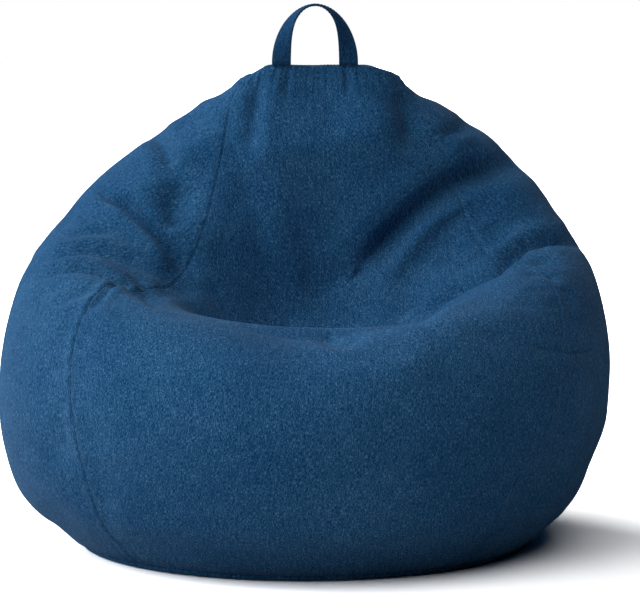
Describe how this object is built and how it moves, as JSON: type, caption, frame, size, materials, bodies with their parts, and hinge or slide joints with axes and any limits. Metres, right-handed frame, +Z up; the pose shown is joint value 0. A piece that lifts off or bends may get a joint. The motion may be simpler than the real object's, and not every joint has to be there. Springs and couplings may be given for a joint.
{
  "type": "bean bag chair",
  "caption": "Teardrop bean bag chair in woven blue cloth: gore cover with a scooped seat, a high back, a strap carry handle and a zip, over a liner bag of loose bead fill.",
  "frame": {"origin": "on the floor at the centre of the base circle, which is the centre of the footprint", "axes": "+Z up; the sitter faces -Y; +X is on the right of someone looking at the seat"},
  "size_m": [0.8513, 0.8465, 0.7538],
  "materials": {
    "cover_cloth": "heathered woven polyester in slate blue",
    "handle_cloth": "darker folded strap of the same cloth",
    "seam_thread": "twisted polyester thread",
    "zip_tape": "woven zip tape",
    "zip_coil": "nylon coil",
    "slider_metal": "enamelled zinc",
    "liner_cloth": "plain white non-woven cloth",
    "liner_zip_tape": "woven zip tape",
    "liner_zip_coil": "nylon coil",
    "bead_fill": "expanded polystyrene beads",
    "label_cloth": "plain blank satin label"
  },
  "bodies": {
    "bag": {"cover_front_panel": "cover_cloth", "cover_right_panel": "cover_cloth", "cover_back_panel": "cover_cloth", "cover_left_panel": "cover_cloth", "cover_crown_panel": "cover_cloth", "cover_base_panel": "cover_cloth", "liner_front_panel": "liner_cloth", "liner_right_panel": "liner_cloth", "liner_back_panel": "liner_cloth", "liner_left_panel": "liner_cloth", "liner_crown_panel": "liner_cloth", "liner_base_panel": "liner_cloth", "front_right_seam_stitch": "seam_thread", "back_right_seam_stitch": "seam_thread", "back_left_seam_stitch": "seam_thread", "front_left_seam_stitch": "seam_thread", "crown_seam_stitch": "seam_thread", "base_seam_stitch": "seam_thread", "cover_zip_tape_lower": "zip_tape", "cover_zip_tape_upper": "zip_tape", "cover_zip_coil_lower": "zip_coil", "cover_zip_coil_upper": "zip_coil", "cover_zip_end_stops": "zip_coil", "liner_zip_tape_lower": "liner_zip_tape", "liner_zip_tape_upper": "liner_zip_tape", "liner_zip_coil_lower": "liner_zip_coil", "liner_zip_coil_upper": "liner_zip_coil", "liner_zip_end_stops": "liner_zip_coil", "handle_ends": "handle_cloth", "bead_fill": "bead_fill", "care_label": "label_cloth"},
    "handle": {"carry_handle": "handle_cloth"},
    "zip_slider": {"cover_zip_slider": "slider_metal"},
    "zip_pull": {"cover_zip_pull": "slider_metal"},
    "liner_slider": {"liner_zip_slider": "slider_metal"}
  },
  "joints": [
    {"name": "handle_swing", "type": "hinge", "parent": "bag", "child": "handle", "pos_m": [0.016, 0.0738, 0.6686], "axis": [1, 0, 0], "range_deg": [-78, 135]},
    {"name": "zip_run", "type": "hinge", "parent": "bag", "child": "zip_slider", "pos_m": [0, 0, 0.024], "axis": [0, 0, -1], "range_deg": [0, 64.1]},
    {"name": "zip_pull_swing", "type": "hinge", "parent": "zip_slider", "child": "zip_pull", "pos_m": [-0.17676, 0.28205, 0.02037], "axis": [-0.4895, 0.7811, 0.3876], "range_deg": [-75, 75]},
    {"name": "liner_zip_run", "type": "hinge", "parent": "bag", "child": "liner_slider", "pos_m": [0, 0, 0.024], "axis": [0, 0, -1], "range_deg": [0, 47.8]}
  ]
}
